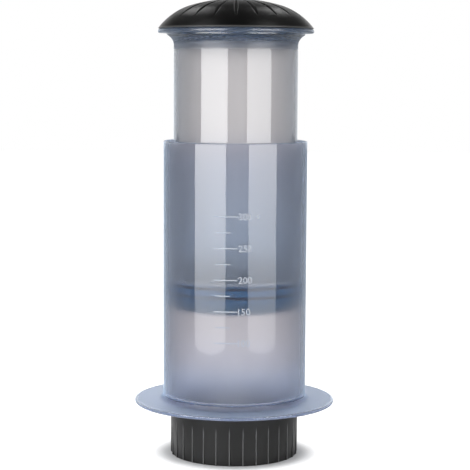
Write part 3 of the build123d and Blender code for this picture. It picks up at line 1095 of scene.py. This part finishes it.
settle(lid_plate, "lid", "lid_plastic", "lid_liner")

# %% [markdown]
# The dome is a flat crown that bends into a rounder shoulder. A squashed sphere would have neither, so the
# outline is two arcs that share a tangent. The shoulder's circle touches the crown's at the crown's edge
# and passes through the rim, and that fixes its radius.

# %% The dome's outline
dome_rim = plate_radius + 0.1 * mm
crown_radius = 76.8 * mm
crown_edge = 21.7 * mm
crown_tilt = math.asin(crown_edge / crown_radius)
crown_centre = dome_top - crown_radius
edge_point = np.array([crown_edge, crown_centre + crown_radius * math.cos(crown_tilt)])
crown_normal = np.array([math.sin(crown_tilt), math.cos(crown_tilt)])
rim_chord = np.array([dome_rim, dome_foot]) - edge_point
shoulder_radius = -(rim_chord @ rim_chord) / (2 * rim_chord @ crown_normal)
shoulder_centre = edge_point - crown_normal * shoulder_radius


def shoulder_arc(wall, foot, count):
    """The shoulder moved in by a wall, from a height up to the crown: points turn evenly about its centre."""
    radius = shoulder_radius - wall
    start = math.asin((foot - shoulder_centre[1]) / radius)
    a = np.linspace(start, math.pi / 2 - crown_tilt, count)
    return shoulder_centre + radius * np.stack([np.cos(a), np.sin(a)], axis=-1)


def crown_arc(wall, count):
    """The crown moved in by a wall, from the shoulder to the axis."""
    radius = crown_radius - wall
    a = np.linspace(crown_tilt, 0, count)
    return np.stack([radius * np.sin(a), crown_centre + radius * np.cos(a)], axis=-1)


def outside_height(r):
    """Height of the dome's outside at a radius: a circle's centre plus sqrt(radius^2 - distance^2)."""
    crown = crown_centre + np.sqrt(np.maximum(crown_radius**2 - r**2, 0))
    aside = r - shoulder_centre[0]
    shoulder = shoulder_centre[1] + np.sqrt(np.maximum(shoulder_radius**2 - aside**2, 0))
    return np.where(r < crown_edge, crown, shoulder)


print("crown radius", crown_radius, "shoulder radius", round(shoulder_radius, 4))

# %% [markdown]
# Twenty grooves run down the dome like the gaps between petals, deepest half way, and they are a grip for
# turning the lid. Cutting them with booleans leaves ragged faces, so the dome's own grid is pushed down
# where a groove runs, and its angles are packed closely round each groove so that the narrow V keeps a
# clean edge.

# %% A groove's arc
groove_depth = 1.35 * mm
groove_start = 8.0 * mm
groove_end = dome_rim - 4.6 * mm
groove_lift = 0.05 * mm


def arc_through(first, middle, last):
    """Centre and radius of the circle through three points. Two chords' bisectors cross at its centre."""
    chords = np.array([middle - first, last - first])
    halves = np.array([(middle @ middle - first @ first) / 2, (last @ last - first @ first) / 2])
    centre = np.linalg.solve(chords, halves)
    return centre, np.linalg.norm(first - centre)


groove_radii = np.array([groove_start, (groove_start + groove_end) / 2, groove_end])
groove_heights = outside_height(groove_radii) + np.array([groove_lift, -groove_depth, groove_lift])
groove_centre, groove_bend = arc_through(*np.stack([groove_radii, groove_heights], axis=-1))
print("groove bend", round(groove_bend, 4), "from", groove_start, "to", round(groove_end, 4))

# %% Petal grooves
groove_count = 20
groove_half_width = 0.8 * mm
groove_slope = groove_depth / groove_half_width
groove_soft = 0.06 * mm
groove_trim = 0.01 * mm
groove_skin = 0.3 * mm
groove_run_out = 0.5 * mm


def petal_grooves(a, r, z):
    """Sinks the outside where a groove runs.

    Along a groove the bottom is an arc that dips into the dome and leaves it at both ends. Across it the
    depth falls off with the sideways distance, r sin(angle from the groove), times the V's slope.
    """
    pitch = full_turn / groove_count
    turn = (a - front + pitch / 2) % pitch - pitch / 2
    aside = np.abs(r * np.sin(turn))
    bottom = groove_centre[1] + np.sqrt(groove_bend**2 - (r - groove_centre[0]) ** 2)
    cut = outside_height(r) - bottom - aside * groove_slope
    depth = np.maximum((cut + np.sqrt(cut**2 + groove_soft**2)) / 2 - groove_trim, 0)
    on_outside = z > outside_height(r) - groove_skin
    grooved = on_outside & (r > groove_start) & (r < groove_end + groove_run_out)
    return np.zeros_like(r), np.where(grooved, -depth, 0)


print("grooves", groove_count, "slope", round(groove_slope, 3))

# %% Domed lid
dome_wall = 3.0 * mm
recess_radius = liner_radius + 0.1 * mm
rim_round = 0.4 * mm
outer_shoulder = shoulder_arc(0, dome_foot + rim_round, 34)
dome_shape = np.vstack([
    [(0, dome_top - dome_wall)],
    crown_arc(dome_wall, 14)[::-1][1:],
    shoulder_arc(dome_wall, liner_top, 12)[::-1][1:],
    rounded([
        (recess_radius - spare, liner_top, 0),
        (recess_radius, liner_top, 0.15 * mm),
        (recess_radius, dome_foot, 0.3 * mm),
        (outer_shoulder[0, 0], dome_foot, 0.35 * mm),
        (*outer_shoulder[0], 0),
        (*outer_shoulder[2], 0),
    ])[1:-2],
    outer_shoulder,
    crown_arc(0, 44)[1:],
])
groove_packing = 2.4
groove_spread = np.linspace(-1, 1, 31)[:-1]
groove_packed = np.sign(groove_spread) * np.abs(groove_spread) ** groove_packing
groove_offsets = groove_packed * full_turn / groove_count / 2
groove_middles = front + np.arange(groove_count) * full_turn / groove_count
groove_angles = groove_middles[:, None] + groove_offsets
lid_dome = turned(
    "lid_dome", dome_shape, lid_black, angles=groove_angles.ravel(), relief=petal_grooves, crease=50)
settle(lid_dome, "lid", "lid_plastic", "dome_lid")

# %% [markdown]
# The dome's rim carries a painted highlight: a thin grey line that stands in for the light its rounded
# edge catches. The rim is the only part of the lid so far from the axis, so the distance alone says where the
# line goes.

# %% Painted rim highlight
rim_highlight_from = dome_rim - 0.9 * mm
rim_highlight_to = dome_rim - 0.2 * mm
lid_tree = lid_black.node_tree
at_rim = rise_between(lid_tree, from_axis(lid_tree)[0], rim_highlight_from, rim_highlight_to, 0, 1)
# Painted highlight: a grey line along the rim's edge, in place of the light that it catches.
lay_over(lid_black, at_rim, (0.11, 0.11, 0.11))
print("rim worn from", round(rim_highlight_from, 5), "to", round(rim_highlight_to, 5))

# %% [markdown]
# The studio. The press stands on a white table in front of a bright white wall. More light on the table
# would make it white, but it would also wash out the press. So the table is a plain grey that glows white
# to the camera. The glow fades out under the press and in a ring round its foot, so the table there is
# darker: partly its real soft shadow and partly a painted shadow, as the dimmer glow darkens that ring even
# where light reaches it. Reflections and looks through the clear plastic see the glow only near the press:
# a wide table would veil the plastic in white.

# %% Table top
half_floor = 3.0
floor_mesh = bpy.data.meshes.new("floor")
floor_mesh.from_pydata([(-half_floor, -half_floor, 0), (half_floor, -half_floor, 0),
                        (half_floor, half_floor, 0), (-half_floor, half_floor, 0)], [], [(0, 1, 2, 3)])
floor = bpy.data.objects.new("floor", floor_mesh)
bpy.context.scene.collection.objects.link(floor)
print("table", 2 * half_floor, "m across")

# %% Table paint
floor_grey = 0.5
floor_paint = bpy.data.materials.new("white_table")
floor_paint.use_nodes = True
floor_mesh.materials.append(floor_paint)
table = floor_paint.node_tree
table.nodes.remove(table.nodes["Principled BSDF"])
table_matt = table.nodes.new("ShaderNodeBsdfDiffuse")
table_matt.inputs["Color"].default_value = (floor_grey, floor_grey, floor_grey, 1)
table_glow = table.nodes.new("ShaderNodeEmission")
table_sum = table.nodes.new("ShaderNodeAddShader")
table_ray = table.nodes.new("ShaderNodeLightPath")
table_place = table.nodes.new("ShaderNodeSeparateXYZ")
table.links.new(table.nodes.new("ShaderNodeTexCoord").outputs["Object"], table_place.inputs[0])
table.links.new(table_matt.outputs[0], table_sum.inputs[0])
table.links.new(table_glow.outputs[0], table_sum.inputs[1])
table.links.new(table_sum.outputs[0], table.nodes["Material Output"].inputs["Surface"])
print("table grey", floor_grey)


def on_table(kind, first, second=0):
    """A math node in the table's tree."""
    return calculate(table, kind, first, second)


# %% Where the table glows
shadow_glow = 0.15
white_glow = 0.9
white_from = 31.0 * mm
white_to = 44.0 * mm
ahead_from = -0.35
ahead_to = -0.12
ahead_glow = 0.1
glow_middle = -0.015
aside_from = 0.03
aside_to = 0.12
by_camera = table_ray.outputs["Is Camera Ray"]
by_clear = table_ray.outputs["Is Transmission Ray"]
by_gloss = table_ray.outputs["Is Glossy Ray"]
# Painted shadow in part: the glow falls from white_glow to shadow_glow close round the press's foot, which
# darkens the table there beyond its real shadow.
whiteness = rise_between(table, from_axis(table)[0], white_from, white_to, shadow_glow, white_glow)
whiteness = on_table("MAXIMUM", whiteness, on_table("MULTIPLY", by_clear, white_glow))
not_far_ahead = rise_between(table, table_place.outputs["Y"], ahead_from, ahead_to, ahead_glow, 1)
off_glow_middle = on_table("ABSOLUTE", on_table("SUBTRACT", table_place.outputs["X"], glow_middle))
not_far_aside = rise_between(table, off_glow_middle, aside_from, aside_to, 1, 0)
close_by = on_table("MULTIPLY", not_far_ahead, not_far_aside)
seen_glow = on_table("MULTIPLY", on_table("MAXIMUM", by_clear, by_gloss), close_by)
seen_glow = on_table("MAXIMUM", seen_glow, by_camera)
table.links.new(on_table("MULTIPLY", seen_glow, whiteness), table_glow.inputs["Strength"])
print("table white from", round(white_to, 3), "m off the axis")

# %% [markdown]
# The room round the press is the world's light, and each kind of ray sees it in its own way. The camera
# sees plain white. Reflections see a white wall behind the press, and dim cards in front of it and above.
# Through the clear plastic the wall is bright only in the middle, as between two black flags, so the walls
# of the barrel go dark at its sides. Real cards and flags could do it, but they would show in the other
# views.

# %% The room's light
world = bpy.data.worlds.new("studio")
bpy.context.scene.world = world
world.use_nodes = True
room = world.node_tree
room_light = room.nodes["Background"]
room_light.inputs["Color"].default_value = (1, 1, 1, 1)
direction = room.nodes.new("ShaderNodeSeparateXYZ")
room.links.new(room.nodes.new("ShaderNodeTexCoord").outputs["Generated"], direction.inputs[0])
room_ray = room.nodes.new("ShaderNodeLightPath")
print("world", world.name)


def in_room(kind, first, second=0):
    """A math node in the room's tree."""
    return calculate(room, kind, first, second)


# %% What each ray sees
room_front = 0.05
room_back = 1.0
room_ceiling = 0.08
wall_from = -0.2
wall_to = 0.5
ceiling_from = 0.15
ceiling_to = 0.5
flags_from = 0.05
flags_to = 0.42
flags_middle = -0.07
flags_light = 0.02
clear_front = 0.7
clear_front_from = -0.5
clear_front_to = -0.1
wall = rise_between(room, direction.outputs["Y"], wall_from, wall_to, room_front, room_back)
ceiling = rise_between(room, direction.outputs["Z"], ceiling_from, ceiling_to, 1, room_ceiling)
ceiling = in_room("MAXIMUM", ceiling, in_room("SUBTRACT", 1, room_ray.outputs["Is Glossy Ray"]))
reflected = in_room("MULTIPLY", wall, ceiling)
off_flags_middle = in_room("ABSOLUTE", in_room("SUBTRACT", direction.outputs["X"], flags_middle))
between_flags = rise_between(room, off_flags_middle, flags_from, flags_to, 1, flags_light)
in_front = rise_between(room, direction.outputs["Y"], clear_front_from, clear_front_to, clear_front, 0)
through_clear = in_room("MAXIMUM", between_flags, in_front)
crossing = room_ray.outputs["Is Transmission Ray"]
seen_room = in_room("ADD", in_room("MULTIPLY", reflected, in_room("SUBTRACT", 1, crossing)),
                    in_room("MULTIPLY", through_clear, crossing))
brightness = in_room("MAXIMUM", seen_room, room_ray.outputs["Is Camera Ray"])
room.links.new(brightness, room_light.inputs["Strength"])
print("room light in front", room_front, "behind", room_back, "above", room_ceiling)

# %% [markdown]
# Two upright soft boxes stand close in front of the press, one to the left and one to the right, and give
# the tall bright strips on the clear pieces. They could be glowing cards, but a lamp's light is sampled
# with less noise. They show only in reflections, so that they don't pale the black plastic or shine through
# the clear.


# %% A lamp
def area_lamp(name, size, energy, place, towards):
    """A rectangular lamp at a place that looks in a direction. The camera doesn't see it."""
    lamp = bpy.data.lights.new(name, "AREA")
    lamp.shape = "RECTANGLE"
    lamp.size, lamp.size_y = size
    lamp.energy = energy
    holder = bpy.data.objects.new(name, lamp)
    holder.location = place
    holder.rotation_euler = Vector(towards).to_track_quat("-Z", "Y").to_euler()
    holder.visible_camera = False
    bpy.context.scene.collection.objects.link(holder)
    print(name, "power", round(energy, 2))
    return holder


# %% Soft boxes
box_distance = 0.30
box_bottom = 0.012
box_top = 0.27
box_foot_light = 0.35
box_fade = 0.13


def soft_box(name, first, last, radiance):
    """An upright soft box that fills the azimuths between two angles, seen from the press.

    Its power is radiance times pi times its area. It fades towards its foot, as a box lit from its middle.
    """
    middle, spread = math.radians(first + last) / 2, math.radians(last - first) / 2
    width, height = 2 * box_distance * math.sin(spread), box_top - box_bottom
    depth = box_distance * math.cos(spread)
    place = (depth * math.sin(middle), -depth * math.cos(middle), (box_top + box_bottom) / 2)
    towards = (-math.sin(middle), math.cos(middle), 0)
    holder = area_lamp(name, (width, height), radiance * math.pi * width * height, place, towards)
    holder.visible_diffuse = False
    holder.visible_transmission = False
    holder.data.use_nodes = True
    tree = holder.data.node_tree
    split = tree.nodes.new("ShaderNodeSeparateXYZ")
    tree.links.new(tree.nodes.new("ShaderNodeNewGeometry").outputs["Parametric"], split.inputs[0])
    rise = tree.nodes.new("ShaderNodeMapRange")
    rise.inputs["From Max"].default_value = box_fade / height
    rise.inputs["To Min"].default_value = box_foot_light
    tree.links.new(split.outputs["Y"], rise.inputs["Value"])
    tree.links.new(rise.outputs["Result"], tree.nodes["Emission"].inputs["Strength"])
    return holder


soft_box("left_soft_box", -63, -14, radiance=8.6)
soft_box("right_soft_box", 20, 65, radiance=6.6)

# %% [markdown]
# The other lamps. A wide fill in front shows the shapes of the black pieces. A lamp high on each side draws
# the dome's grooves, and one high behind on each side lights the crown's edge. One strong lamp would do for
# all, but it would leave a single hard highlight on the dome.

# %% Fill, side and crown lamps
lamp_target = Vector((0, 0, 0.1))
fill = area_lamp("front_fill", (1.0, 1.0), 14.0, (-0.4, -1.0, 1.2), (0.4, 1.0, -1.1))
fill.visible_glossy = False
fill.visible_transmission = False
for side, side_name in ((-1, "left"), (1, "right")):
    top_place = Vector((side * 0.55, -0.1, 0.85))
    crown_place = Vector((side * 0.28, 0.72, 0.92))
    area_lamp(f"top_light_{side_name}", (0.25, 0.6), 1.2, top_place, lamp_target - top_place)
    crown = area_lamp(f"crown_light_{side_name}", (0.10, 0.35), 0.6, crown_place, lamp_target - crown_place)
    crown.visible_transmission = False

# %% [markdown]
# The camera looks along +Y from a little under 0.8 m, slightly down, through a long lens. A wide lens from
# close by could frame the same height, but it would bend the upright sides and show more of the flange's
# top.

# %% Camera
camera_place = Vector((0.0, -0.786, 0.1876))
camera_tilt = math.radians(5.77)
camera_roll = math.radians(0.3)
lens = bpy.data.cameras.new("camera")
lens.lens = 123.43
lens.sensor_width = 36.0
lens.clip_start = 0.01
camera = bpy.data.objects.new("camera", lens)
aim = Matrix.Rotation(math.pi / 2 - camera_tilt, 4, "X") @ Matrix.Rotation(camera_roll, 4, "Z")
camera.matrix_world = Matrix.Translation(camera_place) @ aim
bpy.context.scene.collection.objects.link(camera)
bpy.context.scene.camera = camera
bpy.context.scene.view_settings.view_transform = "Standard"
print("camera at", tuple(round(v, 4) for v in camera_place), "lens", round(lens.lens, 2))
